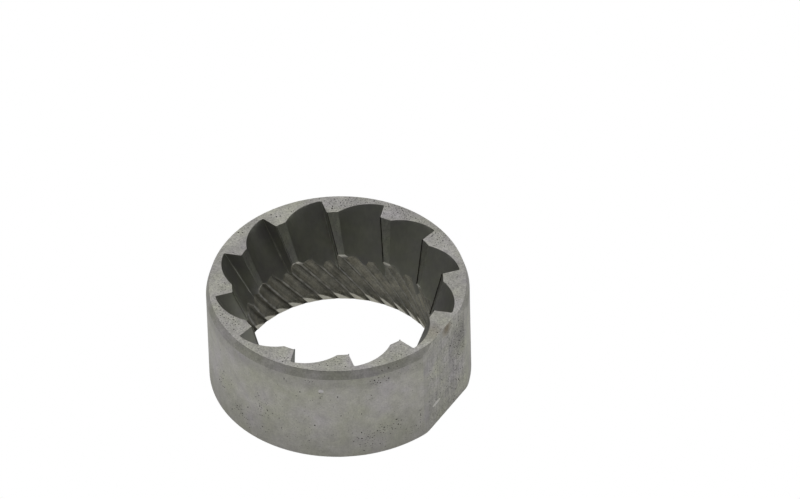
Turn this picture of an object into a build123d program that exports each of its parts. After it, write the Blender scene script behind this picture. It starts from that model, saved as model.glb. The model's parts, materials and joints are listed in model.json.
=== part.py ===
"""Outer ring burr of a conical coffee grinder.

One piece of hardened tool steel. The bore is an hourglass: a coarse inlet with deep gullets narrows
down to a throat, and below it a fine section of helical teeth flares out to the bottom face.
The origin is the centre of the bottom face, +Z points up to the inlet and +X out of the flat.
"""

import os
from math import atan2, cos, degrees, radians, sin, tan

from build123d import *

# Body: outer diameter, height, lead-in chamfer at the top, and depth of the locating flat (mm)
outer_diameter = 46.0
height = 20.0
chamfer_height = 1.7
chamfer_width = 0.5
flat_depth = 1.0

# Bore: height of the fine section, and slopes of the tooth tips from the axis (mm, degrees)
fine_height = 12.0
inlet_taper = 16.7
outlet_flare = 7.4

# Coarse teeth: count, angle of a gullet root from the flat's middle, wall behind the root at the
# top face, gullet depth there, slope of the root from the axis, its turn down to the throat, and
# the rise of a gullet's arc as a share of its chord at the top face and at its lower end
coarse_count = 12
coarse_phase = 9.2
root_wall = 1.5
gullet_depth = 3.1
root_slope = 22.4
root_turn = 5.0
bulge_top = 0.13
bulge_end = 0.06

# Coarse tooth faces, at the top face and at the throat: overhang of the rake, width of the land (mm)
rake_top = 0.55
rake_throat = 0.65
land_top = 2.0
land_throat = 1.2

# Fine teeth: count, angle of a crest from the flat's middle at the bottom face, lead of the helix,
# groove depth, width of the ground land along a crest and of the rake face, and how far the back
# of a groove is hollowed below a straight line (mm, degrees)
fine_count = 39
fine_phase = 1.75
fine_lead = 160.0
fine_depth = 0.8
fine_land = 0.22
fine_rake = 0.4
fine_hollow = 0.2

# The grooves shrink towards the bottom rim over one height, to a share of their size there,
# and start at the throat over another height; between the two they turn in equal spans
rim_height = 1.75
rim_share = 0.4
run_in_height = 1.2
fine_spans = 3

# Cutters start this far inside the bore and past the end faces, in air
overcut = 0.5
skin = 0.05

outer_radius = outer_diameter / 2
root_radius = outer_radius - root_wall
inlet_radius = root_radius - gullet_depth
throat_radius = inlet_radius - (height - fine_height) * tan(radians(inlet_taper))
outlet_radius = throat_radius + fine_height * tan(radians(outlet_flare))
coarse_pitch = 360 / coarse_count
fine_pitch = 360 / fine_count


def polar(radius, angle):
    """Point at a radius and an angle in degrees."""
    return Vector(radius * cos(radians(angle)), radius * sin(radians(angle)))


def turn(width, radius):
    """Angle in degrees that an arc of this width covers."""
    return degrees(width / radius)


def between(start, end, share):
    """Value at a share of the way from start to end."""
    return start + (end - start) * share


def gullet_corners(z):
    """Root, tooth tip and land end of a gullet at a height, each on a line down the wall."""
    share = (height - z) / (height - fine_height)
    tip_radius = between(inlet_radius, throat_radius, share)
    root_angle = coarse_phase - root_turn * share
    rake_turn = between(turn(rake_top, inlet_radius), turn(rake_throat, throat_radius), share)
    land_turn = between(turn(land_top, inlet_radius), turn(land_throat, throat_radius), share)
    root = polar(root_radius - (height - z) * tan(radians(root_slope)), root_angle)
    tip = polar(tip_radius, root_angle - rake_turn)
    land_end = polar(tip_radius, root_angle - rake_turn - land_turn + coarse_pitch)
    return root, tip, land_end


def gullet_outline(z, bulge):
    """Start of a gullet's arc inside the bore, the land end it runs through, root and rake end."""
    root, tip, land_end = gullet_corners(z)
    chord = root - land_end
    rise = chord.length * bulge
    radius = chord.length**2 / (8 * rise) + rise / 2
    inward = Vector(chord.Y, -chord.X).normalized()
    centre = (root + land_end) * 0.5 + inward * (radius - rise)
    reach = land_end - centre
    start_angle = degrees(atan2(reach.Y, reach.X)) + turn(overcut, radius)
    arc_start = centre + polar(radius, start_angle)
    rake_end = tip + (tip - root).normalized() * overcut
    return arc_start, land_end, root, rake_end


def groove_outline(z, share, lift):
    """Corners of a fine groove at a height: rake side, root, middle of the hollow and back.

    The share scales the groove about its crest, and the lift moves it in towards the axis.
    """
    bore = throat_radius + (fine_height - z) * tan(radians(outlet_flare)) - lift
    crest_angle = fine_phase + 360 * z / fine_lead
    root_angle = crest_angle + turn(fine_rake, throat_radius) * share
    back_angle = crest_angle + (fine_pitch - turn(fine_land, throat_radius)) * share
    rake_side = polar(bore - skin, crest_angle)
    root = polar(bore + fine_depth * share, root_angle)
    back = polar(bore - skin, back_angle)
    middle = (root + back) * 0.5
    hollow = middle + middle.normalized() * fine_hollow * share
    return rake_side, root, hollow, back


# Ring: outside with its chamfer, smooth hourglass bore, and the locating flat
with BuildPart() as ring_burr:
    with BuildSketch(Plane.XZ):
        with BuildLine():
            Polyline(
                (outlet_radius, 0),
                (outer_radius, 0),
                (outer_radius, height - chamfer_height),
                (outer_radius - chamfer_width, height),
                (inlet_radius, height),
                (throat_radius, fine_height),
                close=True,
            )
        make_face()
    revolve(axis=Axis.Z)
    with BuildSketch():
        with Locations((outer_radius - flat_depth, 0)):
            Rectangle(outer_diameter, outer_diameter, align=(Align.MIN, Align.CENTER))
    extrude(amount=height, mode=Mode.SUBTRACT)

# Gullet: down to the height where its sloping root comes out of the fine section's bore
root_fall = tan(radians(root_slope))
bore_rise = tan(radians(outlet_flare))
root_over_bore = root_radius - height * root_fall - throat_radius - fine_height * bore_rise
gullet_end = -(root_over_bore + skin) / (root_fall + bore_rise)

with BuildPart() as gullet:
    for z, bulge in ((gullet_end, bulge_end), (height + overcut, bulge_top)):
        arc_start, land_end, root, rake_end = gullet_outline(z, bulge)
        with BuildSketch(Plane.XY.offset(z)):
            with BuildLine():
                ThreePointArc(arc_start, land_end, root)
                Polyline(root, rake_end, arc_start)
            make_face()
    loft(ruled=True)

# Fine groove: small at the rim, full size along the helix, and lifted out of the wall at the throat
below_rim_share = between(rim_share, 1, -skin / rim_height)
stations = [(-skin, below_rim_share, 0)]
for i in range(fine_spans + 1):
    stations.append((between(rim_height, fine_height - run_in_height, i / fine_spans), 1, 0))
stations.append((fine_height, 1, fine_depth + skin))

with BuildPart() as groove:
    for z, share, lift in stations:
        with BuildSketch(Plane.XY.offset(z)):
            with BuildLine():
                Polyline(*groove_outline(z, share, lift), close=True)
            make_face()
    loft(ruled=True)

# Teeth: what the gullets and the grooves leave standing
with ring_burr:
    with PolarLocations(0, coarse_count):
        add(gullet.part, mode=Mode.SUBTRACT)
    with PolarLocations(0, fine_count):
        add(groove.part, mode=Mode.SUBTRACT)

ring_burr.part.label = "ring_burr"
os.makedirs("parts", exist_ok=True)
export_step(ring_burr.part, "parts/ring_burr.step")
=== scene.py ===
"""Looks of the ring burr of a conical coffee grinder.

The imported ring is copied, its faces get the finish that each tool left on them, its edges are broken, its
fine grooves run out at the rim, and open pores and two handling marks are cut into it. Laid out as an
add-on and run as a script.
"""

import json
import random
from math import atan2, cos, hypot, pi, radians, sin, tan

import bpy
from bpy.props import FloatProperty, FloatVectorProperty, IntProperty, PointerProperty
from bpy.types import Operator, Panel, PropertyGroup
from mathutils import Matrix, Quaternion, Vector

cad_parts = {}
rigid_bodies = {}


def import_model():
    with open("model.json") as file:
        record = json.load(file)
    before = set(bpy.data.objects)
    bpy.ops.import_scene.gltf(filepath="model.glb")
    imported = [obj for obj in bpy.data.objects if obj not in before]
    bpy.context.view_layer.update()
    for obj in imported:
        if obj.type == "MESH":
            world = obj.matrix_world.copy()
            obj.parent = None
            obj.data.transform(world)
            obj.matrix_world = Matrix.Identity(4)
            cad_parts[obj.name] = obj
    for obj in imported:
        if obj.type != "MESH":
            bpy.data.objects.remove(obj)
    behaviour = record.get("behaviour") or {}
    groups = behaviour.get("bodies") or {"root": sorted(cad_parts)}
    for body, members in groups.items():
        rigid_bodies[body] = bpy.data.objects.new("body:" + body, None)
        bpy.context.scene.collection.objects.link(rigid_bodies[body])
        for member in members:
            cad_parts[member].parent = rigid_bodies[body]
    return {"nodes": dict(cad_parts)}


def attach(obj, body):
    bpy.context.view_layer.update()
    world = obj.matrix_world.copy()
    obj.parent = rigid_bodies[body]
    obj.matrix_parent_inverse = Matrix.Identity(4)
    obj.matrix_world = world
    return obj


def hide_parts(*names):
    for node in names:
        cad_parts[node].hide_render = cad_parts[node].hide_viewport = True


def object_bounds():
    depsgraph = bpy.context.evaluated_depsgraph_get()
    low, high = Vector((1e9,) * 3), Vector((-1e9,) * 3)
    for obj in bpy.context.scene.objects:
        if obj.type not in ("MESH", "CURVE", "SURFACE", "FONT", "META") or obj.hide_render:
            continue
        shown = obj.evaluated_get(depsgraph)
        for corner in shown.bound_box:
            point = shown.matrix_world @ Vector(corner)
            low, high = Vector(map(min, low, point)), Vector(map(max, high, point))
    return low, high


bl_info = {
    "name": "Grinder ring burr",
    "version": (1, 0, 0),
    "blender": (4, 5, 0),
    "location": "View3D > Sidebar > Ring burr",
    "description": "Gives the packed ring burr its steel finishes, pores and marks, and a studio stage",
    "category": "Object",
}

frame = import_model()
cad_low, cad_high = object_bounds()

NODE = "ring_burr"
PIECE = "burr_ring"
BODY = "root"
MILLIMETRE = 0.001

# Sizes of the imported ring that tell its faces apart: outside, chamfer, the bore's two cones, depth of a
# fine groove at the rim, and the paths of the gullets' backs and of the fine grooves (m, radians)
HEIGHT = cad_high.z
FLAT_X = cad_high.x
OUTER_RADIUS = cad_high.y
CHAMFER_HEIGHT = 1.7 * MILLIMETRE
CHAMFER_WIDTH = 0.5 * MILLIMETRE
THROAT_RADIUS = 16.0 * MILLIMETRE
FINE_HEIGHT = 12.0 * MILLIMETRE
RIM_HEIGHT = 1.75 * MILLIMETRE
RIM_DEPTH = 0.32 * MILLIMETRE
INLET_SLOPE = tan(radians(16.7))
OUTLET_SLOPE = tan(radians(7.4))
COARSE_COUNT = 12
COARSE_PITCH = 2 * pi / COARSE_COUNT
GULLET_FOOT = 7.8 * MILLIMETRE
GULLET_SLOPE = tan(radians(19.5))
GULLET_TURN = radians(5.0) / (HEIGHT - FINE_HEIGHT)
FINE_COUNT = 39
FINE_LEAD = 160.0 * MILLIMETRE
GROOVE_PITCH = 2 * pi / FINE_COUNT
GROOVE_TURN = 2 * pi / FINE_LEAD
GROOVE_PHASE = radians(1.75)
RUN_IN_LIFT = 0.85 * MILLIMETRE
RUN_IN_HEIGHT = 1.2 * MILLIMETRE
RUN_IN_SLOPE = RUN_IN_LIFT / RUN_IN_HEIGHT

# Least distances and angles that keep two points, two faces or the two sides of an edge apart
ON_SURFACE = 0.03 * MILLIMETRE
MERGE = 0.04 * MILLIMETRE
SAME_PLANE = radians(0.6)
SHARP = radians(28)
TIP_ANGLE = radians(65)
BLEND_ANGLE = radians(10)

# Least share of a face's normal along a direction: of a face square to it, of the outside, of the chamfer,
# of a rake face and of the side of a wire edge over its gullet
SQUARE = 0.99
OUTSIDE = 0.5
SLOPED = 0.1
RAKE = 0.6
FLANK = 0.2

# Segments of a strip, of the flat's blends and of the edge break, and a wire edge's lean for its height
STRIP_SEGMENTS = 1
BLEND_SEGMENTS = 6
EDGE_SEGMENTS = 2
WIRE_LEAN = 0.5

# Clusters of open pores on the outer wall: angle and height of the middle, spread both ways (degrees,
# mm) and number of pores
WALL_PORES = (
    (-108.6, 3.9, 2.6, 1.3, 34),
    (-103.0, 3.0, 2.2, 0.7, 18),
    (-94.0, 8.5, 2.4, 1.3, 36),
    (-93.0, 2.7, 1.5, 0.4, 5),
    (-121.0, 7.9, 4.0, 2.0, 16),
    (-82.4, 16.7, 0.8, 0.3, 3),
    (-72.0, 17.6, 1.2, 0.2, 4),
    (-66.2, 14.4, 0.9, 0.4, 4),
    (-41.4, 17.0, 2.2, 0.5, 34),
    (-32.6, 19.2, 2.6, 0.3, 16),
    (-36.0, 5.3, 4.0, 0.6, 44),
    (-25.4, 3.0, 1.5, 0.5, 10),
    (-45.7, 3.1, 3.0, 0.9, 52),
    (-20.8, 4.2, 0.3, 2.2, 12),
    (32.0, 9.0, 4.0, 2.5, 30),
    (68.0, 14.0, 5.0, 1.2, 34),
    (112.0, 5.0, 6.0, 1.4, 46),
    (150.0, 12.0, 3.0, 2.5, 30),
    (196.0, 4.0, 5.0, 1.2, 40),
    (214.0, 15.0, 3.0, 1.2, 24),
    (120.0, 10.0, 90.0, 6.0, 70),
    (-70.0, 9.0, 50.0, 5.0, 44),
)

# The same on the top face: radius and angle (mm, degrees)
FACE_PORES = (
    (20.8, 155.6, 0.1, 0.1, 2),
    (21.8, 169.6, 0.4, 4.0, 24),
    (20.4, 117.0, 1.0, 8.0, 190),
    (21.2, 89.0, 0.8, 7.0, 170),
    (20.8, 62.0, 0.9, 5.0, 50),
    (19.6, -145.0, 0.7, 4.0, 24),
    (21.0, -124.0, 0.9, 6.0, 100),
    (19.6, -25.2, 0.4, 2.0, 8),
    (21.6, -27.4, 0.3, 2.0, 10),
    (21.3, -80.6, 0.5, 3.0, 16),
    (20.0, -58.0, 0.7, 3.0, 20),
    (20.8, 0.0, 1.2, 180.0, 160),
)

# The same on the flat: distance from its middle line and height (mm)
FLAT_PORES = (
    (4.4, 13.0, 1.2, 2.4, 110),
    (4.4, 15.6, 1.0, 1.2, 60),
    (3.0, 6.6, 1.6, 2.6, 76),
    (-5.5, 11.6, 0.6, 1.0, 18),
    (-2.0, 6.9, 0.6, 1.4, 28),
    (0.0, 10.0, 4.0, 6.0, 60),
)

# Open pores: spread of their sizes and the largest against the mean, least room to the next pore and to an
# edge against the radius, unevenness of the ball that cuts one, and its length, width and depth
PORE_SPREAD = 0.3
PORE_LARGEST = 1.7
PORE_GAP = 1.6
PORE_MARGIN = 1.9
PORE_UNEVENNESS = 0.25
PORE_LENGTH = (0.8, 1.7)
PORE_WIDTH = (0.6, 1.0)
PORE_DEPTH = 0.8

# Probes round a pore's place: their number, how high above the skin they start, how squarely the skin has
# to face them, and how far away they may meet it against their own distance
PROBES = 8
PROBE_LIFT = 0.5 * MILLIMETRE
PROBE_SQUARE = 0.985
PROBE_REACH = 1.5

# Two handling marks, a nick on the wall (degrees, mm) and a scratch across the flat (mm): place, size of
# the ball that presses it and how far the middle of the ball stays off the skin
NICK_ANGLE = -65.9
NICK_HEIGHT = 15.55
NICK_SIZE = Vector((1.8, 1.6, 1.2))
NICK_LIFT = 0.5
SCRATCH_ACROSS = -3.6
SCRATCH_HEIGHT = 4.7
SCRATCH_SIZE = Vector((3.6, 0.95, 0.8))
SCRATCH_LIFT = 0.26

# Middles of a thin rust film on the top face beside the flat and of a dark film on the flat, and how far
# the rust stain at the top of the flat is off its middle line
FACE_RUST = Vector((20.9 * MILLIMETRE, -2.5 * MILLIMETRE, HEIGHT))
DARK_FILM = Vector((FLAT_X, 5.2 * MILLIMETRE, 14.0 * MILLIMETRE))
FLAT_RUST_ACROSS = 0.3 * MILLIMETRE

# Patterns: detail of noise and the range that it mostly keeps to, where a pit starts and is deepest in its
# cell, the share of a blot that is full, and the squeezes along the axes that stretch a pattern
NOISE_DETAIL = 3.0
NOISE_LOW = 0.3
NOISE_HIGH = 0.7
PIT_EDGE = 0.32
PIT_FLOOR = 0.14
BLOT_CORE = 0.2
ROUND_RING = (0.03, 0.03, 1.0)
UP_FLAT = (1.0, 1.0, 0.06)
DOWN_GULLET = (1.0, 1.0, 0.08)
ALONG_TOOTH = (1.0, 1.0, 0.05)
LONG_PITS = (1.0, 1.0, 0.5)

# Heights between which the ends of the fine teeth at the rim fade in
RIM_FADE = {"From Min": 1.1 * RIM_HEIGHT, "From Max": 0.8 * RIM_HEIGHT}

# Stage: width of the camera's sensor (mm), nearest and farthest thing that it sees, distance and side of
# the softboxes, and gap between the ring and the floor (m)
SENSOR_WIDTH = 36.0
NEAREST = 0.1
FARTHEST = 20.0
LIGHT_DISTANCE = 0.7
LIGHT_SIZE = 0.45
FLOOR_GAP = 0.02 * MILLIMETRE

# Sockets of a colour Mix node
MIX_A = 6
MIX_B = 7
MIX_RESULT = 2


def linear(hex_colour):
    """Linear RGBA of an sRGB hex colour."""
    channels = []
    for i in range(0, 6, 2):
        value = int(hex_colour[i : i + 2], 16) / 255
        channels.append(value / 12.92 if value <= 0.04045 else ((value + 0.055) / 1.055) ** 2.4)
    return (*channels, 1.0)


def colour(name, description, hex_colour):
    """Colour property with an sRGB default."""
    return FloatVectorProperty(
        name=name,
        description=description,
        default=linear(hex_colour),
        size=4,
        min=0,
        max=1,
        subtype="COLOR",
    )


def length(name, description, millimetres):
    """Length property with its default in millimetres."""
    return FloatProperty(
        name=name,
        description=description,
        default=millimetres * MILLIMETRE,
        min=0,
        subtype="DISTANCE",
        unit="LENGTH",
        precision=6,
    )


def power(name, description, watts):
    """Power property of a softbox."""
    return FloatProperty(name=name, description=description, default=watts, min=0, unit="POWER")


class BurrSizes(PropertyGroup):
    """Sizes of the broken edges, the rim, the pores and the patterns of each finish."""

    edge_break: length("Edge break", "Width of the rounding along every sharp edge", 0.06)
    # The light line on the root rounding is a painted highlight
    root_break: length("Root rounding", "Width of the burnished line at the root of a gullet", 0.16)
    tip_break: length("Tip break", "Width of the broken edge along the tip of a coarse tooth", 0.11)
    flat_blend: length("Flat's blend", "Reach each way of the rounding between flat and wall", 0.64)
    wire_edge: length("Wire edge", "Height of the torn burr along the tip of a coarse tooth", 0.2)
    run_out: FloatProperty(
        name="Run-out",
        description="Share of a fine groove's depth past the edge break that is left at the rim",
        default=0.125,
        min=0,
        max=1,
        subtype="FACTOR",
    )
    pore: length("Pore", "Mean diameter of the open pores", 0.19)
    seed: IntProperty(name="Pore seed", description="Start of the pores' random places", default=11, min=0)
    cloud: length("Cloud", "Size of the heat-tint clouds", 4.5)
    mottle: length("Mottle", "Size of the light and dark patches in the skin of the steel", 1.5)
    grain: length("Grain", "Size of the fine grain in the skin of the steel", 0.3)
    speck: length("Speck", "Diameter of the fine pits between the open pores", 0.18)
    cluster: length("Cluster", "Size of the clusters that the fine pits gather in", 4.0)
    feed: length("Feed", "Spacing of the lathe's lines on the chamfer", 0.3)
    streak: length("Streak", "Width of the streaks on the flat and in the gullets", 0.5)
    striation: length("Striation", "Width of the cutter's lines along the fine teeth", 0.3)
    # The low band is painted shade at the foot of the outer wall
    band: length("Low band", "Height of the darker band at the foot of the outer wall", 5.0)
    stain: length("Stain", "Size of the rust stain on the flat, and the measure of both films", 1.8)


class BurrColours(PropertyGroup):
    """Colours of each finish of the steel."""

    wall: colour("Wall", "Pressed outer wall", "CDCDBE")
    chamfer: colour("Chamfer", "Turned chamfer", "BABAAC")
    face: colour("Face", "Ground top and bottom faces", "D0D0C2")
    flat: colour("Flat", "Milled locating flat", "CCCCBE")
    # The gullet's colour is darker than the wall's partly as painted shade inside the bore
    gullet: colour("Gullet", "Pressed gullets", "AEB0A2")
    inlet_land: colour("Inlet land", "Ground lands of the coarse teeth", "BDC0B1")
    teeth: colour("Teeth", "Backs of the fine teeth", "95948B")
    # The rake's dark colour is painted shade on the steep sides of the fine teeth
    rake: colour("Rake", "Rake faces of the fine teeth", "84837A")
    # The land's near-white colour is lit up at the rim as painted reflection of the floor
    land: colour("Land", "Ground lands of the fine teeth", "F4F3E8")
    tint: colour("Heat tint", "Tint that the clouds multiply the steel by", "F2EEFF")
    teeth_tint: colour("Teeth tint", "Tint that the clouds multiply the fine teeth by", "FBF8F2")
    # The root's near-white colour is a painted highlight along the rounded roots of the gullets
    root: colour("Root", "Burnished roots of the gullets", "F8FBF5")
    bare: colour("Bare metal", "Fresh metal in the nick and the scratch", "F8F8EA")
    stain: colour("Stain", "Rust-brown stain on the flat and film on the top face", "91826B")
    # The dark line along the torn tips, drawn in this colour, is painted shadow
    pore: colour("Pore", "Oxide in the pores, on the torn tips and in the dark film", "56534C")


class BurrStage(PropertyGroup):
    """Camera, lights and floor."""

    camera_place: FloatVectorProperty(
        name="Camera place",
        description="Place of the camera",
        default=(0.694855, -1.077281, 1.199921),
        subtype="TRANSLATION",
        unit="LENGTH",
        precision=6,
    )
    camera_turn: FloatVectorProperty(
        name="Camera turn",
        description="Turn of the camera",
        default=(radians(47.5432), radians(1.115), radians(31.31)),
        subtype="EULER",
        unit="ROTATION",
    )
    focal_length: FloatProperty(
        name="Focal length",
        description="Focal length of the camera in millimetres",
        default=450.0,
        min=1,
        subtype="DISTANCE_CAMERA",
        unit="CAMERA",
    )
    floor: colour("Floor", "White of the floor", "FFFFFF")
    floor_size: FloatProperty(
        name="Floor size",
        description="Side of the floor",
        default=10.0,
        min=1,
        subtype="DISTANCE",
        unit="LENGTH",
    )
    floor_glow: FloatProperty(
        name="Floor glow", description="Light that the floor gives by itself", default=0.18, min=0
    )
    top_power: power("Top light", "Power of the softbox over the ring", 0.9)
    back_power: power("Back light", "Power of the softbox behind the ring", 0.345)
    left_power: power("Left light", "Power of the softbox on the left", 0.35)
    right_power: power("Right light", "Power of the low softbox on the right", 0.255)
    room: FloatProperty(
        name="Room", description="Strength of the light from the room", default=0.108, min=0
    )


class BurrSettings(PropertyGroup):
    """All settings of the ring burr."""

    sizes: PointerProperty(type=BurrSizes, name="Sizes", description="Sizes of pores, edges and patterns")
    colours: PointerProperty(type=BurrColours, name="Colours", description="Colours of the finishes")
    stage: PointerProperty(type=BurrStage, name="Stage", description="Camera, lights and floor")


def add_node(tree, kind, values=None, links=None, **settings):
    """Adds a node with its settings, the values of its sockets and the sockets that feed it."""
    node = tree.nodes.new(kind)
    for name, value in settings.items():
        setattr(node, name, value)
    for socket, value in (values or {}).items():
        node.inputs[socket].default_value = value
    for socket, source in (links or {}).items():
        tree.links.new(source, node.inputs[socket])
    return node


def steel(name, roughness):
    """New metal material: the material, its tree, its shader and its Object coordinates."""
    material = bpy.data.materials.new(name)
    material.use_nodes = True
    tree = material.node_tree
    shader = tree.nodes["Principled BSDF"]
    shader.inputs["Metallic"].default_value = 1.0
    shader.inputs["Roughness"].default_value = roughness
    place = add_node(tree, "ShaderNodeTexCoord").outputs["Object"]
    return material, tree, shader, place


def clouds(tree, place, size, low, high):
    """Factor that drifts between low and high over clouds of this size."""
    noise = add_node(
        tree, "ShaderNodeTexNoise", {"Scale": 1 / size, "Detail": NOISE_DETAIL}, {"Vector": place}
    )
    spread = add_node(
        tree,
        "ShaderNodeMapRange",
        {"From Min": NOISE_LOW, "From Max": NOISE_HIGH, "To Min": low, "To Max": high},
        {"Value": noise.outputs["Fac"]},
    )
    return spread.outputs["Result"]


def skin(tree, place, base, tint, cloud, *factors):
    """Colour of a steel skin: base with heat-tinted clouds, dimmed by each factor in turn."""
    tinted = [channel * share for channel, share in zip(base, tint)]
    mix = add_node(
        tree,
        "ShaderNodeMix",
        {MIX_A: base, MIX_B: tinted},
        {"Factor": clouds(tree, place, cloud, 0.0, 1.0)},
        data_type="RGBA",
    )
    result = mix.outputs[MIX_RESULT]
    for factor in factors:
        scaled = add_node(
            tree, "ShaderNodeVectorMath", links={"Vector": result, "Scale": factor}, operation="SCALE"
        )
        result = scaled.outputs["Vector"]
    return result


def blot(tree, place, centre, size):
    """Amount of a round stain that fades out at this distance from its centre."""
    away = add_node(tree, "ShaderNodeVectorMath", {1: centre}, {0: place}, operation="DISTANCE")
    return add_node(
        tree,
        "ShaderNodeMapRange",
        {"From Min": BLOT_CORE * size, "From Max": size, "To Min": 1.0, "To Max": 0.0},
        {"Value": away.outputs["Value"]},
    ).outputs["Result"]


def stained(tree, base, amount, stain, strength):
    """Colour that goes towards a stain where its amount is high."""
    part = add_node(tree, "ShaderNodeMath", {1: strength}, {0: amount}, operation="MULTIPLY")
    mix = add_node(
        tree,
        "ShaderNodeMix",
        {MIX_B: stain},
        {"Factor": part.outputs["Value"], MIX_A: base},
        data_type="RGBA",
    )
    return mix.outputs[MIX_RESULT]


def pitted(tree, place, base, colours, sizes, sparse, dense, strength):
    """Colour with dark fine pits, which gather in clusters between a sparse and a dense share."""
    cells = add_node(tree, "ShaderNodeTexVoronoi", {"Scale": 1 / (2 * sizes.speck)}, {"Vector": place})
    chance = add_node(tree, "ShaderNodeSeparateColor", links={"Color": cells.outputs["Color"]})
    share = clouds(tree, place, sizes.cluster, sparse, dense)
    chosen = add_node(
        tree, "ShaderNodeMath", links={0: chance.outputs["Red"], 1: share}, operation="LESS_THAN"
    )
    depth = add_node(
        tree,
        "ShaderNodeMapRange",
        {"From Min": PIT_EDGE, "From Max": PIT_FLOOR},
        {"Value": cells.outputs["Distance"]},
    )
    pits = add_node(
        tree,
        "ShaderNodeMath",
        links={0: chosen.outputs["Value"], 1: depth.outputs["Result"]},
        operation="MULTIPLY",
    )
    return stained(tree, base, pits.outputs["Value"], colours.pore, strength)


def sintered_wall(colours, sizes):
    """Tool steel, pressed and sintered, then tumbled.

    The eye sees a satin grey with broad soft patches, faint yellow-green and purple heat tints, fine pits
    in clusters, a darker band of painted shade at the foot of the wall and a darker line under the chamfer.
    """
    material, tree, shader, place = steel("tool_steel_sintered_wall", roughness=0.42)
    broad = clouds(tree, place, 1.2 * sizes.cloud, 0.9, 1.1)
    mottle = clouds(tree, place, sizes.mottle, 0.92, 1.08)
    grain = clouds(tree, place, sizes.grain, 0.9, 1.1)
    up = add_node(tree, "ShaderNodeSeparateXYZ", links={"Vector": place}).outputs["Z"]
    under_chamfer = HEIGHT - CHAMFER_HEIGHT
    factors = [broad, mottle, grain]
    # The first band is painted shade at the foot of the wall, the second darkens the wall under the chamfer
    # The two bands: clouds that make the edge ragged and their reach, heights where it fades, and factors
    for cloud, reach, low, high, below, above in (
        (2 * sizes.cloud, 0.6 * sizes.band, sizes.band, 1.6 * sizes.band, 0.95, 1.06),
        (sizes.cloud, 0.1 * sizes.band, 0.85 * under_chamfer, 0.91 * under_chamfer, 1.02, 0.87),
    ):
        ragged = clouds(tree, place, cloud, -reach, reach)
        edge = add_node(tree, "ShaderNodeMath", links={0: up, 1: ragged}, operation="ADD")
        band = add_node(
            tree,
            "ShaderNodeMapRange",
            {"From Min": low, "From Max": high, "To Min": below, "To Max": above},
            {"Value": edge.outputs["Value"]},
        )
        factors.append(band.outputs["Result"])
    base = skin(tree, place, colours.wall, colours.tint, 1.2 * sizes.cloud, *factors)
    base = pitted(tree, place, base, colours, sizes, sparse=-0.6, dense=0.5, strength=0.5)
    tree.links.new(base, shader.inputs["Base Color"])
    bump = add_node(tree, "ShaderNodeBump", {"Distance": 0.02 * MILLIMETRE}, {"Height": mottle})
    tree.links.new(bump.outputs["Normal"], shader.inputs["Normal"])
    return material


def turned_chamfer(colours, sizes):
    """Tool steel, turned on a lathe.

    The eye sees fine lines round the ring. The real feed is about 0.1 mm and is drawn coarser to show.
    """
    material, tree, shader, place = steel("tool_steel_turned_chamfer", roughness=0.42)
    round_ring = add_node(tree, "ShaderNodeMapping", {"Scale": ROUND_RING}, {"Vector": place})
    lines = clouds(tree, round_ring.outputs["Vector"], sizes.feed, 0.95, 1.05)
    broad = clouds(tree, place, sizes.cloud, 0.84, 1.16)
    mottle = clouds(tree, place, sizes.mottle, 0.88, 1.12)
    grain = clouds(tree, place, sizes.grain, 0.85, 1.15)
    base = skin(tree, place, colours.chamfer, colours.tint, sizes.cloud, lines, broad, mottle, grain)
    base = pitted(tree, place, base, colours, sizes, sparse=-0.6, dense=0.5, strength=0.5)
    tree.links.new(base, shader.inputs["Base Color"])
    bump = add_node(tree, "ShaderNodeBump", {"Distance": 0.02 * MILLIMETRE}, {"Height": lines})
    tree.links.new(bump.outputs["Normal"], shader.inputs["Normal"])
    return material


def ground_face(colours, sizes):
    """Tool steel, surface ground.

    The eye sees the lightest, smoothest skin of the ring, peppered with dark pits that the wheel opened,
    and a thin rust film beside the flat.
    """
    material, tree, shader, place = steel("tool_steel_ground_face", roughness=0.42)
    broad = clouds(tree, place, 1.4 * sizes.cloud, 0.85, 1.15)
    mottle = clouds(tree, place, sizes.mottle, 0.92, 1.07)
    grain = clouds(tree, place, sizes.grain, 0.77, 1.23)
    base = skin(tree, place, colours.face, colours.tint, sizes.cloud, broad, mottle, grain)
    rust = blot(tree, place, FACE_RUST, 1.5 * sizes.stain)
    rusty = stained(tree, base, rust, colours.stain, strength=0.33)
    base = pitted(tree, place, rusty, colours, sizes, sparse=-0.4, dense=0.6, strength=0.5)
    tree.links.new(base, shader.inputs["Base Color"])
    bump = add_node(tree, "ShaderNodeBump", {"Distance": 0.01 * MILLIMETRE}, {"Height": grain})
    tree.links.new(bump.outputs["Normal"], shader.inputs["Normal"])
    return material


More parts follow.
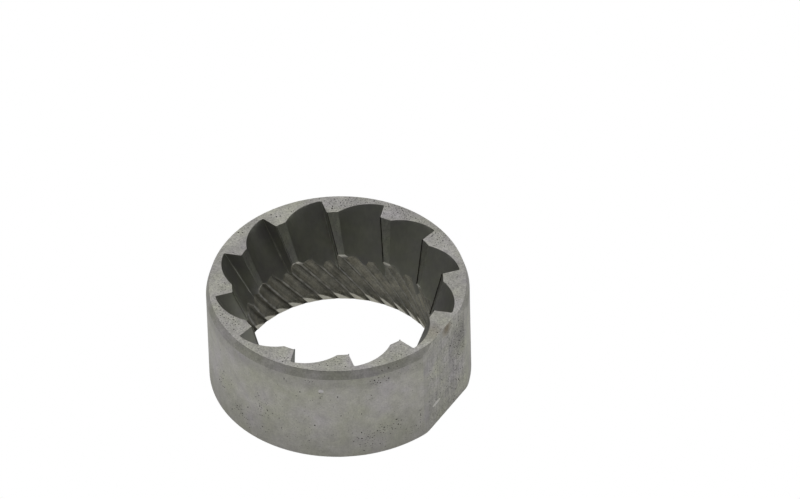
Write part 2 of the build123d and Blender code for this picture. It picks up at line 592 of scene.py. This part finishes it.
def milled_flat(colours, sizes):
    """Tool steel, milled in one pass down the ring.

    The eye sees upright streaks, more and longer pits than on the wall, a dark film on one side and one
    rust-brown stain at the top.
    """
    material, tree, shader, place = steel("tool_steel_milled_flat", roughness=0.42)
    upright = add_node(tree, "ShaderNodeMapping", {"Scale": UP_FLAT}, {"Vector": place})
    streaks = clouds(tree, upright.outputs["Vector"], sizes.streak, 0.86, 1.14)
    mottle = clouds(tree, place, sizes.mottle, 0.88, 1.12)
    grain = clouds(tree, place, sizes.grain, 0.8, 1.2)
    long_pits = add_node(tree, "ShaderNodeMapping", {"Scale": LONG_PITS}, {"Vector": place})
    rust = blot(tree, place, (FLAT_X, FLAT_RUST_ACROSS, HEIGHT - 0.5 * sizes.stain), sizes.stain)
    film = blot(tree, place, DARK_FILM, 3 * sizes.stain)
    base = skin(tree, place, colours.flat, colours.tint, sizes.cloud, streaks, mottle, grain)
    filmed = stained(tree, base, film, colours.pore, strength=0.25)
    rusty = stained(tree, filmed, rust, colours.stain, strength=0.8)
    along = long_pits.outputs["Vector"]
    base = pitted(tree, along, rusty, colours, sizes, sparse=-0.2, dense=0.8, strength=0.55)
    tree.links.new(base, shader.inputs["Base Color"])
    bump = add_node(tree, "ShaderNodeBump", {"Distance": 0.03 * MILLIMETRE}, {"Height": streaks})
    tree.links.new(bump.outputs["Normal"], shader.inputs["Normal"])
    return material


def tumbled_edge(colours, sizes):
    """Tool steel, rounded in the tumbler: a smoother band where the flat runs out into the wall."""
    material, tree, shader, place = steel("tool_steel_tumbled_edge", roughness=0.42)
    upright = add_node(tree, "ShaderNodeMapping", {"Scale": UP_FLAT}, {"Vector": place})
    streaks = clouds(tree, upright.outputs["Vector"], sizes.streak, 0.93, 1.07)
    mottle = clouds(tree, place, sizes.mottle, 0.9, 1.1)
    grain = clouds(tree, place, sizes.grain, 0.92, 1.08)
    base = skin(tree, place, colours.flat, colours.tint, sizes.cloud, streaks, mottle, grain)
    tree.links.new(base, shader.inputs["Base Color"])
    return material


def pressed_gullet_and_shade(colours, sizes):
    """Tool steel as it came out of the press, untouched by any later cut.

    The eye sees a dark, even satin with faint streaks where the punch drew out; it is darker than the wall
    partly as painted shade inside the bore.
    """
    material, tree, shader, place = steel("tool_steel_pressed_gullet", roughness=0.48)
    drawn = add_node(tree, "ShaderNodeMapping", {"Scale": DOWN_GULLET}, {"Vector": place})
    streaks = clouds(tree, drawn.outputs["Vector"], sizes.streak, 0.95, 1.04)
    mottle = clouds(tree, place, sizes.mottle, 0.95, 1.05)
    base = skin(tree, place, colours.gullet, colours.tint, sizes.cloud, streaks, mottle)
    tree.links.new(base, shader.inputs["Base Color"])
    return material


def round_teeth(tree, place):
    """Angle round the bore from the first fine tooth's crest, with the helix made straight, and height."""
    axes = add_node(tree, "ShaderNodeSeparateXYZ", links={"Vector": place})
    angle = add_node(
        tree, "ShaderNodeMath", links={0: axes.outputs["Y"], 1: axes.outputs["X"]}, operation="ARCTAN2"
    )
    from_crest = add_node(
        tree, "ShaderNodeMath", {1: GROOVE_PHASE}, {0: angle.outputs["Value"]}, operation="SUBTRACT"
    )
    turned = add_node(
        tree,
        "ShaderNodeMath",
        {1: -GROOVE_TURN},
        {0: axes.outputs["Z"], 2: from_crest.outputs["Value"]},
        operation="MULTIPLY_ADD",
    )
    return turned.outputs["Value"], axes.outputs["Z"]


def tooth_lines(tree, place, width, low, high):
    """Factor that drifts across the fine teeth in lines of this width and stays the same along them."""
    turned, up = round_teeth(tree, place)
    across = add_node(tree, "ShaderNodeMath", {1: THROAT_RADIUS}, {0: turned}, operation="MULTIPLY")
    along_tooth = add_node(tree, "ShaderNodeCombineXYZ", links={"X": across.outputs["Value"], "Z": up})
    drawn = add_node(
        tree, "ShaderNodeMapping", {"Scale": ALONG_TOOTH}, {"Vector": along_tooth.outputs["Vector"]}
    )
    return clouds(tree, drawn.outputs["Vector"], width, low, high)


def cut_teeth(colours, sizes):
    """Tool steel, cut along the helix.

    The eye sees lines along each tooth in grey and a little brown. Painted shade darkens the root of each
    groove and the teeth towards the rim, and a thin line beside the crest is darker. The ends at the rim
    are lighter again as painted light.
    """
    material, tree, shader, place = steel("tool_steel_cut_teeth", roughness=0.55)
    turned, up = round_teeth(tree, place)
    pitches = add_node(tree, "ShaderNodeMath", {1: GROOVE_PITCH}, {0: turned}, operation="DIVIDE")
    share = add_node(tree, "ShaderNodeMath", links={0: pitches.outputs["Value"]}, operation="FRACT")
    factors = []
    # Across a tooth painted shade in its root and a darker line beside its crest, up it painted shade
    # towards the rim and painted light at the end there
    for way, fade in (
        (share.outputs["Value"], {"From Min": 0.15, "From Max": 0.42, "To Min": 0.68, "To Max": 1.25}),
        (share.outputs["Value"], {"From Min": 0.8, "From Max": 0.86, "To Min": 1.0, "To Max": 0.6}),
        (up, {"From Min": RIM_HEIGHT, "From Max": 0.6 * FINE_HEIGHT, "To Min": 0.8, "To Max": 1.12}),
        (up, {**RIM_FADE, "To Min": 1.0, "To Max": 1.6}),
    ):
        factors.append(add_node(tree, "ShaderNodeMapRange", fade, {"Value": way}).outputs["Result"])
    broad = clouds(tree, place, sizes.cloud, 0.72, 1.28)
    lines = tooth_lines(tree, place, sizes.striation, 0.78, 1.22)
    mottle = clouds(tree, place, sizes.mottle, 0.85, 1.15)
    grain = clouds(tree, place, sizes.grain, 0.8, 1.2)
    factors += [broad, lines, mottle, grain]
    base = skin(tree, place, colours.teeth, colours.teeth_tint, 0.5 * sizes.cloud, *factors)
    base = pitted(tree, place, base, colours, sizes, sparse=-0.4, dense=0.6, strength=0.6)
    tree.links.new(base, shader.inputs["Base Color"])
    bump = add_node(tree, "ShaderNodeBump", {"Distance": 0.05 * MILLIMETRE}, {"Height": lines})
    tree.links.new(bump.outputs["Normal"], shader.inputs["Normal"])
    return material


def rake_painted_shade(colours, sizes):
    """Tool steel as it came out of the press, darkened as painted shade on the steep side of each fine
    tooth.

    The eye sees a dark line of painted shade along the steep side of each fine tooth.
    """
    material, tree, shader, place = steel("tool_steel_pressed_rake", roughness=0.45)
    lines = tooth_lines(tree, place, sizes.striation, 0.8, 1.2)
    mottle = clouds(tree, place, sizes.mottle, 0.75, 1.25)
    base = skin(tree, place, colours.rake, colours.teeth_tint, 0.5 * sizes.cloud, lines, mottle)
    tree.links.new(base, shader.inputs["Base Color"])
    return material


def ground_land(colours, sizes):
    """Tool steel, ground to the final bore.

    The eye sees bright triangles at the rim, lit up as painted reflection of the floor under them, and
    bright facets at the throat; along the crests between them it is dulled to thin grey lines, partly wear
    and partly painted shade.
    """
    material, tree, shader, place = steel("tool_steel_ground_land", roughness=0.34)
    up = add_node(tree, "ShaderNodeSeparateXYZ", links={"Vector": place}).outputs["Z"]
    # Painted reflection of the floor lightens the rim; wear and painted shade dull the crests between
    rim = add_node(tree, "ShaderNodeMapRange", RIM_FADE, {"Value": up})
    throat = add_node(
        tree,
        "ShaderNodeMapRange",
        {"From Min": 0.93 * FINE_HEIGHT, "From Max": 0.98 * FINE_HEIGHT, "To Max": 0.7},
        {"Value": up},
    )
    fresh_and_lit = add_node(
        tree,
        "ShaderNodeMath",
        links={0: rim.outputs["Result"], 1: throat.outputs["Result"]},
        operation="MAXIMUM",
    )
    worn_and_shaded = clouds(tree, place, sizes.mottle, 0.17, 0.39)
    wear_and_shade = add_node(tree, "ShaderNodeMapRange", links={"Value": fresh_and_lit.outputs["Value"], "To Min": worn_and_shaded})
    patches = clouds(tree, place, sizes.mottle, 0.93, 1.13)
    grain = clouds(tree, place, sizes.grain, 0.93, 1.1)
    factors = (wear_and_shade.outputs["Result"], patches, grain)
    base = skin(tree, place, colours.land, colours.teeth_tint, sizes.cloud, *factors)
    tree.links.new(base, shader.inputs["Base Color"])
    return material


def ground_inlet_land(colours, sizes):
    """Tool steel, ground once and dulled by the beans that slide over it: soft grey with faint streaks."""
    material, tree, shader, place = steel("tool_steel_ground_inlet_land", roughness=0.42)
    drawn = add_node(tree, "ShaderNodeMapping", {"Scale": DOWN_GULLET}, {"Vector": place})
    streaks = clouds(tree, drawn.outputs["Vector"], sizes.streak, 0.88, 1.12)
    mottle = clouds(tree, place, sizes.mottle, 0.93, 1.07)
    grain = clouds(tree, place, sizes.grain, 0.9, 1.1)
    base = skin(tree, place, colours.inlet_land, colours.tint, sizes.cloud, streaks, mottle, grain)
    base = pitted(tree, place, base, colours, sizes, sparse=-0.6, dense=0.5, strength=0.5)
    tree.links.new(base, shader.inputs["Base Color"])
    return material


def plain_skin(name, roughness, base, tint, cloud, patch, low, high):
    """New metal whose colour drifts between low and high over patches of one size."""
    material, tree, shader, place = steel(name, roughness)
    patches = clouds(tree, place, patch, low, high)
    tree.links.new(skin(tree, place, base, tint, cloud, patches), shader.inputs["Base Color"])
    return material


def root_painted_highlight(colours, sizes):
    """Tool steel at the rounded root of each gullet, lit up by a painted highlight: a thin light line down
    it.
    """
    name = "tool_steel_burnished_root"
    return plain_skin(name, 0.42, colours.root, colours.teeth_tint, sizes.cloud, sizes.mottle, 0.4, 0.75)


def torn_tip_shadow(colours, sizes):
    """Tool steel, torn into a wire edge by the wheel: a broken line of painted shadow down each coarse
    tooth's tip.
    """
    name = "tool_steel_torn_tip"
    return plain_skin(name, 0.6, colours.pore, colours.tint, sizes.cloud, 2 * sizes.grain, 0.15, 1.1)


def scraped_metal(colours, sizes):
    """Tool steel, scraped bare by a knock: small bright marks."""
    name = "tool_steel_scraped"
    return plain_skin(name, 0.3, colours.bare, colours.tint, sizes.cloud, sizes.grain, 0.85, 1.0)


def oxide_pore(colours, sizes):
    """Iron oxide inside an open pore: a dark, dull speck."""
    name = "iron_oxide_pore"
    return plain_skin(name, 0.8, colours.pore, colours.tint, sizes.cloud, sizes.grain, 0.8, 1.1)


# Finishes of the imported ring's own faces
FINISHES = {
    "wall": sintered_wall,
    "chamfer": turned_chamfer,
    "face": ground_face,
    "flat": milled_flat,
    "gullet": pressed_gullet_and_shade,
    "teeth": cut_teeth,
    "rake": rake_painted_shade,
    "land": ground_land,
    "inlet_land": ground_inlet_land,
}

# Finishes of the strips along the gullets' roots, the coarse teeth's tips and the sides of the flat
STRIPS = {
    "root": root_painted_highlight,
    "tip": torn_tip_shadow,
    "blend": tumbled_edge,
}
SLOTS = [*FINISHES, *STRIPS]


def bore_radius(z):
    """Radius of the tooth tips at a height: the inlet's cone above the throat, the outlet's below it."""
    slope = INLET_SLOPE if z > FINE_HEIGHT else -OUTLET_SLOPE
    return THROAT_RADIUS + (z - FINE_HEIGHT) * slope


def lean(normal, path):
    """How far a face leans away from a path: 0 for a face that runs along it."""
    return abs(normal.dot(path.normalized()))


def finish_of(mesh, face):
    """Name of a face's finish, from its place and its normal."""
    centre = face.center
    normal = face.normal
    radius = hypot(centre.x, centre.y)
    outward = Vector((centre.x, centre.y, 0)) / radius
    facing = normal.dot(outward)
    if abs(normal.z) > SQUARE:
        return "face"
    if normal.x > SQUARE and centre.x > FLAT_X - ON_SURFACE:
        return "flat"
    if facing > OUTSIDE:
        return "chamfer" if normal.z > SLOPED else "wall"
    corners = [mesh.vertices[i].co for i in face.vertices]
    on_bore = all(abs(hypot(c.x, c.y) - bore_radius(c.z)) < ON_SURFACE for c in corners)
    if on_bore:
        return "land" if centre.z < FINE_HEIGHT else "inlet_land"
    if centre.z > FINE_HEIGHT:
        return "gullet"
    cylinder_normal = Vector((facing, normal.dot(Vector((-outward.y, outward.x, 0))), normal.z))
    if centre.z > GULLET_FOOT:
        # Where gullets and grooves meet, a face belongs to the cut whose path it runs along
        groove = Vector((-OUTLET_SLOPE, radius * GROOVE_TURN, 1))
        run_in = groove - Vector((RUN_IN_SLOPE, 0, 0))
        gullet = Vector((GULLET_SLOPE, radius * GULLET_TURN, 1))
        along_groove = min(lean(cylinder_normal, groove), lean(cylinder_normal, run_in))
        if lean(cylinder_normal, gullet) < along_groove:
            return "gullet"
    return "rake" if cylinder_normal.y > RAKE else "teeth"


def select_only(piece):
    """Leaves one object selected and active."""
    bpy.ops.object.select_all(action="DESELECT")
    piece.select_set(True)
    bpy.context.view_layer.objects.active = piece


def pick(ring, kind, wanted):
    """Selects, in edit mode, only the edges or the faces of the ring that have these numbers."""
    bpy.ops.object.mode_set(mode="EDIT")
    bpy.ops.mesh.select_mode(type=kind)
    bpy.ops.mesh.select_all(action="DESELECT")
    bpy.ops.object.mode_set(mode="OBJECT")
    parts = ring.data.edges if kind == "EDGE" else ring.data.polygons
    for i in wanted:
        parts[i].select = True
    bpy.ops.object.mode_set(mode="EDIT")


def assign(ring, finish):
    """Gives the faces that are selected in edit mode a finish, and leaves edit mode."""
    ring.active_material_index = SLOTS.index(finish)
    bpy.ops.object.material_slot_assign()
    bpy.ops.object.mode_set(mode="OBJECT")


def merge_triangles(ring):
    """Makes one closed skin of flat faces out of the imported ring's loose triangles."""
    bpy.ops.object.mode_set(mode="EDIT")
    bpy.ops.mesh.select_all(action="SELECT")
    bpy.ops.mesh.remove_doubles(threshold=MERGE)
    bpy.ops.mesh.dissolve_limited(angle_limit=SAME_PLANE)
    bpy.ops.object.mode_set(mode="OBJECT")


def give_finishes(ring):
    """Gives each face its finish."""
    finishes = [finish_of(ring.data, face) for face in ring.data.polygons]
    for name in FINISHES:
        wanted = [i for i, finish in enumerate(finishes) if finish == name]
        if not wanted:
            raise RuntimeError(f"no face of the ring has the finish {name}")
        pick(ring, "FACE", wanted)
        assign(ring, name)


def break_between(ring, first, second, angle, strip, width, segments):
    """Rounds the edges where two finishes meet at more than an angle into strips with their own finish."""
    sides = {}
    for face in ring.data.polygons:
        for key in face.edge_keys:
            sides.setdefault(key, []).append(face)
    wanted = {SLOTS.index(first), SLOTS.index(second)}
    found = []
    for edge in ring.data.edges:
        one, other = sides[edge.key]
        pair = {one.material_index, other.material_index}
        if pair == wanted and one.normal.angle(other.normal) > angle:
            found.append(edge.index)
    pick(ring, "EDGE", found)
    slot = SLOTS.index(strip)
    bpy.ops.mesh.bevel(offset=width, segments=segments, clamp_overlap=False, material=slot)
    bpy.ops.object.mode_set(mode="OBJECT")


def draw_wire_edges(ring, height):
    """Draws the strip along each coarse tooth's tip in towards the axis and a little over the gullet."""
    for tooth in range(COARSE_COUNT):
        strip = []
        for face in ring.data.polygons:
            turned = atan2(face.center.y, face.center.x) + pi
            if face.material_index == SLOTS.index("tip") and int(turned / COARSE_PITCH) == tooth:
                strip.append(face)
        middle = sum((face.center for face in strip), Vector()) / len(strip)
        inward = -Vector((middle.x, middle.y, 0)).normalized()
        over_gullet = Vector((inward.y, -inward.x, 0))
        draw = (inward + WIRE_LEAN * over_gullet) * height
        pick(ring, "FACE", [face.index for face in strip])
        bpy.ops.mesh.extrude_region_move(TRANSFORM_OT_translate={"value": draw})
        bpy.ops.mesh.select_more()
        assign(ring, "tip")
        # The side over the gullet keeps the gullet's skin
        flank = []
        for face in ring.data.polygons:
            if face.select and face.normal.dot(over_gullet) > FLANK:
                flank.append(face.index)
        pick(ring, "FACE", flank)
        assign(ring, "gullet")


def break_edges(ring, width):
    """Rounds every sharp edge of the ring."""
    edge = ring.modifiers.new("edge break", "BEVEL")
    edge.width = width
    edge.segments = EDGE_SEGMENTS
    edge.limit_method = "ANGLE"
    edge.angle_limit = SHARP
    edge.use_clamp_overlap = False
    edge.miter_outer = "MITER_ARC"
    bpy.ops.object.modifier_apply(modifier=edge.name)


def run_out_grooves(ring, sizes):
    """Lets the fine grooves run out at the bottom rim, so that the mouth of the bore is nearly round."""
    mouth = bore_radius(0) + sizes.edge_break
    for vertex in ring.data.vertices:
        radius = hypot(vertex.co.x, vertex.co.y)
        if vertex.co.z < 2 * sizes.edge_break and mouth < radius < mouth + RIM_DEPTH + ON_SURFACE:
            closer = (mouth + (radius - mouth) * sizes.run_out) / radius
            vertex.co.x *= closer
            vertex.co.y *= closer


def shade(ring):
    """Shades the ring smooth, with sharp lines where two finishes meet and along its edges.

    Large faces outweigh the narrow ones along their edges, so that flat faces look flat.
    """
    select_only(ring)
    bpy.ops.mesh.customdata_custom_splitnormals_clear()
    bpy.ops.object.mode_set(mode="EDIT")
    for i in range(len(ring.material_slots)):
        bpy.ops.mesh.select_mode(type="FACE")
        bpy.ops.mesh.select_all(action="DESELECT")
        ring.active_material_index = i
        bpy.ops.object.material_slot_select()
        bpy.ops.mesh.region_to_loop()
        bpy.ops.mesh.mark_sharp()
    bpy.ops.object.mode_set(mode="OBJECT")
    bpy.ops.object.shade_smooth_by_angle(angle=SHARP, keep_sharp_edges=True)
    weights = ring.modifiers.new("face weights", "WEIGHTED_NORMAL")
    weights.keep_sharp = True
    bpy.ops.object.modifier_apply(modifier=weights.name)


class RINGBURR_OT_ring(Operator):
    """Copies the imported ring, gives each face its finish and breaks its edges"""

    bl_idname = "ring_burr.ring"
    bl_label = "Ring"

    def execute(self, context):
        settings = context.scene.ring_burr
        sizes = settings.sizes
        ring = bpy.data.objects.new(PIECE, frame["nodes"][NODE].data.copy())
        context.collection.objects.link(ring)
        ring.data.materials.clear()
        for finish in (*FINISHES.values(), *STRIPS.values()):
            ring.data.materials.append(finish(settings.colours, sizes))
        select_only(ring)
        merge_triangles(ring)
        give_finishes(ring)
        break_between(ring, "gullet", "gullet", SHARP, "root", sizes.root_break, STRIP_SEGMENTS)
        break_between(ring, "gullet", "inlet_land", TIP_ANGLE, "tip", sizes.tip_break, STRIP_SEGMENTS)
        break_between(ring, "wall", "flat", BLEND_ANGLE, "blend", sizes.flat_blend, BLEND_SEGMENTS)
        draw_wire_edges(ring, sizes.wire_edge)
        break_edges(ring, sizes.edge_break)
        run_out_grooves(ring, sizes)
        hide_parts(NODE)
        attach(ring, BODY)
        shade(ring)
        return {"FINISHED"}


def on_wall(angle, height):
    """Place on the outer wall or its chamfer, and the way out of it there."""
    up_chamfer = max(height - (HEIGHT - CHAMFER_HEIGHT), 0) / CHAMFER_HEIGHT
    radius = OUTER_RADIUS - CHAMFER_WIDTH * up_chamfer
    level = Vector((cos(angle), sin(angle), 0))
    rise = CHAMFER_WIDTH / CHAMFER_HEIGHT if up_chamfer else 0
    return level * radius + Vector((0, 0, height)), (level + Vector((0, 0, rise))).normalized()


def on_face(radius, angle):
    """Place on the top face, and the way out of it."""
    return Vector((radius * cos(angle), radius * sin(angle), HEIGHT)), Vector((0, 0, 1))


def on_flat(across, height):
    """Place on the locating flat, and the way out of it."""
    return Vector((FLAT_X, across, height)), Vector((1, 0, 0))


def stays_inside(ring, place, out, reach):
    """True where the skin all round a place faces the same way, so that a pore there misses the edges."""
    side = out.orthogonal().normalized()
    for i in range(PROBES):
        step = Quaternion(out, i * 2 * pi / PROBES) @ side * reach
        hit, point, normal, _ = ring.ray_cast(place + step + out * PROBE_LIFT, -out)
        if not hit or normal.dot(out) < PROBE_SQUARE or (point - place).length > PROBE_REACH * reach:
            return False
    return True


def pore_places(ring, sizes):
    """Place, way out and radius of every open pore, apart from each other and off the edges."""
    dice = random.Random(sizes.seed)
    degree = radians(1)
    surfaces = (
        (WALL_PORES, on_wall, degree, MILLIMETRE),
        (FACE_PORES, on_face, MILLIMETRE, degree),
        (FLAT_PORES, on_flat, MILLIMETRE, MILLIMETRE),
    )
    found = []
    for clusters, surface, first_unit, second_unit in surfaces:
        for first, second, first_spread, second_spread, count in clusters:
            for _ in range(count):
                radius = sizes.pore / 2 * min(dice.lognormvariate(0, PORE_SPREAD), PORE_LARGEST)
                one = dice.gauss(first, first_spread) * first_unit
                other = dice.gauss(second, second_spread) * second_unit
                place, out = surface(one, other)
                apart = all((place - near).length > PORE_GAP * (radius + reach) for near, _, reach in found)
                if apart and stays_inside(ring, place, out, PORE_MARGIN * radius):
                    found.append((place, out, radius))
    return found


def joined(pieces):
    """Joins objects into the first and returns it."""
    select_only(pieces[0])
    for piece in pieces:
        piece.select_set(True)
    bpy.ops.object.join()
    return pieces[0]


def carve(ring, cutter):
    """Cuts a cutter out of the ring, lines the cut with the cutter's material and removes the cutter."""
    select_only(ring)
    cut = ring.modifiers.new("cut", "BOOLEAN")
    cut.operation = "DIFFERENCE"
    cut.solver = "EXACT"
    cut.material_mode = "TRANSFER"
    cut.object = cutter
    bpy.ops.object.modifier_apply(modifier=cut.name)
    bpy.data.objects.remove(cutter)
    shade(ring)


class RINGBURR_OT_pores(Operator):
    """Opens the pores in the wall, the top face and the flat"""

    bl_idname = "ring_burr.pores"
    bl_label = "Pores"

    def execute(self, context):
        settings = context.scene.ring_burr
        ring = bpy.data.objects[PIECE]
        places = pore_places(ring, settings.sizes)
        if not places:
            raise RuntimeError("no pore fits on the ring")
        bpy.ops.object.select_all(action="DESELECT")
        bpy.ops.mesh.primitive_ico_sphere_add(subdivisions=1, radius=1)
        pore = context.object
        pore.data.materials.append(oxide_pore(settings.colours, settings.sizes))
        bpy.ops.object.mode_set(mode="EDIT")
        bpy.ops.transform.vertex_random(offset=PORE_UNEVENNESS, seed=settings.sizes.seed)
        bpy.ops.object.mode_set(mode="OBJECT")
        dice = random.Random(settings.sizes.seed)
        cutters = []
        for place, out, radius in places:
            cutter = bpy.data.objects.new("pore", pore.data.copy())
            context.collection.objects.link(cutter)
            spin = Quaternion((0, 0, 1), dice.uniform(0, 2 * pi))
            turn = out.to_track_quat("Z", "Y") @ spin
            stretch = Vector((dice.uniform(*PORE_LENGTH), dice.uniform(*PORE_WIDTH), PORE_DEPTH)) * radius
            cutter.data.transform(Matrix.LocRotScale(place, turn, stretch))
            cutters.append(cutter)
        bpy.data.objects.remove(pore)
        carve(ring, joined(cutters))
        return {"FINISHED"}


class RINGBURR_OT_marks(Operator):
    """Presses the nick into the wall and draws the scratch across the flat"""

    bl_idname = "ring_burr.marks"
    bl_label = "Marks"

    def execute(self, context):
        settings = context.scene.ring_burr
        ring = bpy.data.objects[PIECE]
        bare_metal = scraped_metal(settings.colours, settings.sizes)
        nick = on_wall(radians(NICK_ANGLE), NICK_HEIGHT * MILLIMETRE)
        scratch = on_flat(SCRATCH_ACROSS * MILLIMETRE, SCRATCH_HEIGHT * MILLIMETRE)
        marks = ((nick, NICK_SIZE, NICK_LIFT), (scratch, SCRATCH_SIZE, SCRATCH_LIFT))
        cutters = []
        for (place, out), size, lift in marks:
            # A ball one unit across, which is stretched to the mark's size
            bpy.ops.object.select_all(action="DESELECT")
            bpy.ops.mesh.primitive_ico_sphere_add(subdivisions=3, radius=0.5)
            cutter = context.object
            cutter.data.materials.append(bare_metal)
            level = Vector((-out.y, out.x, 0)).normalized()
            turn = Matrix((level, out.cross(level), out)).transposed().to_quaternion()
            middle = place + out * lift * MILLIMETRE
            cutter.data.transform(Matrix.LocRotScale(middle, turn, size * MILLIMETRE))
            cutters.append(cutter)
        carve(ring, joined(cutters))
        return {"FINISHED"}


class RINGBURR_OT_stage(Operator):
    """Sets the white floor, the soft lights and the camera"""

    bl_idname = "ring_burr.stage"
    bl_label = "Stage"

    def execute(self, context):
        scene = context.scene
        stage = scene.ring_burr.stage
        bpy.ops.object.select_all(action="DESELECT")
        bpy.ops.object.camera_add(location=stage.camera_place, rotation=stage.camera_turn)
        camera = context.object
        camera.name = "camera"
        camera.data.sensor_width = SENSOR_WIDTH
        camera.data.lens = stage.focal_length
        camera.data.clip_start = NEAREST
        camera.data.clip_end = FARTHEST
        scene.camera = camera

        # Light paper that the picture shows as plain white, while its light and shade still reach the ring
        bpy.ops.mesh.primitive_plane_add(size=stage.floor_size, location=(0, 0, -FLOOR_GAP))
        floor = context.object
        floor.name = "floor"
        paper = bpy.data.materials.new("floor_white_paper")
        paper.use_nodes = True
        tree = paper.node_tree
        tree.nodes.clear()
        lit = add_node(tree, "ShaderNodeBsdfDiffuse")
        glow = add_node(tree, "ShaderNodeEmission", {"Color": stage.floor, "Strength": stage.floor_glow})
        both = add_node(
            tree, "ShaderNodeAddShader", links={0: lit.outputs["BSDF"], 1: glow.outputs["Emission"]}
        )
        white = add_node(tree, "ShaderNodeEmission", {"Color": stage.floor})
        seen = add_node(tree, "ShaderNodeLightPath").outputs["Is Camera Ray"]
        mix = add_node(
            tree,
            "ShaderNodeMixShader",
            links={0: seen, 1: both.outputs["Shader"], 2: white.outputs["Emission"]},
        )
        add_node(tree, "ShaderNodeOutputMaterial", links={"Surface": mix.outputs["Shader"]})
        floor.data.materials.append(paper)

        front = Vector((stage.camera_place[0], stage.camera_place[1], 0)).normalized()
        left = Vector((front.y, -front.x, 0))
        up = Vector((0, 0, 1))
        # Softboxes: side of the ring, degrees above the floor and power
        for name, level, elevation, watts in (
            ("top_light", -front, 89, stage.top_power),
            ("back_light", -front, 42, stage.back_power),
            ("left_light", left, 35, stage.left_power),
            ("right_light", -left, 12, stage.right_power),
        ):
            towards = level * cos(radians(elevation)) + up * sin(radians(elevation))
            turn = towards.to_track_quat("Z", "Y").to_euler()
            bpy.ops.object.light_add(type="AREA", location=towards * LIGHT_DISTANCE, rotation=turn)
            softbox = context.object
            softbox.name = name
            softbox.data.size = LIGHT_SIZE
            softbox.data.energy = watts

        world = bpy.data.worlds.new("room")
        world.use_nodes = True
        scene.world = world
        tree = world.node_tree
        seen = add_node(tree, "ShaderNodeLightPath").outputs["Is Camera Ray"]
        strength = add_node(
            tree, "ShaderNodeMapRange", {"To Min": stage.room, "To Max": 1.0}, {"Value": seen}
        )
        background = tree.nodes["Background"]
        background.inputs["Color"].default_value = stage.floor
        tree.links.new(strength.outputs["Result"], background.inputs["Strength"])
        scene.view_settings.view_transform = "Standard"
        return {"FINISHED"}


class RINGBURR_PT_panel(Panel):
    """Lists the steps that make the ring burr"""

    bl_idname = "RINGBURR_PT_panel"
    bl_label = "Ring burr"
    bl_space_type = "VIEW_3D"
    bl_region_type = "UI"
    bl_category = "Ring burr"

    def draw(self, context):
        for step in STEPS:
            self.layout.operator(step.bl_idname)
        settings = context.scene.ring_burr
        for group in (settings.sizes, settings.colours, settings.stage):
            box = self.layout.box()
            for name in group.__annotations__:
                box.prop(group, name)


STEPS = (RINGBURR_OT_ring, RINGBURR_OT_pores, RINGBURR_OT_marks, RINGBURR_OT_stage)
CLASSES = (BurrSizes, BurrColours, BurrStage, BurrSettings, *STEPS, RINGBURR_PT_panel)


def register():
    for cls in CLASSES:
        bpy.utils.register_class(cls)
    bpy.types.Scene.ring_burr = PointerProperty(
        type=BurrSettings, name="Ring burr", description="Ring burr settings"
    )


def unregister():
    del bpy.types.Scene.ring_burr
    for cls in reversed(CLASSES):
        bpy.utils.unregister_class(cls)


def main():
    """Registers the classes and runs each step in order."""
    register()
    bpy.ops.ring_burr.ring()
    bpy.ops.ring_burr.pores()
    bpy.ops.ring_burr.marks()
    bpy.ops.ring_burr.stage()


if __name__ == "__main__":
    main()
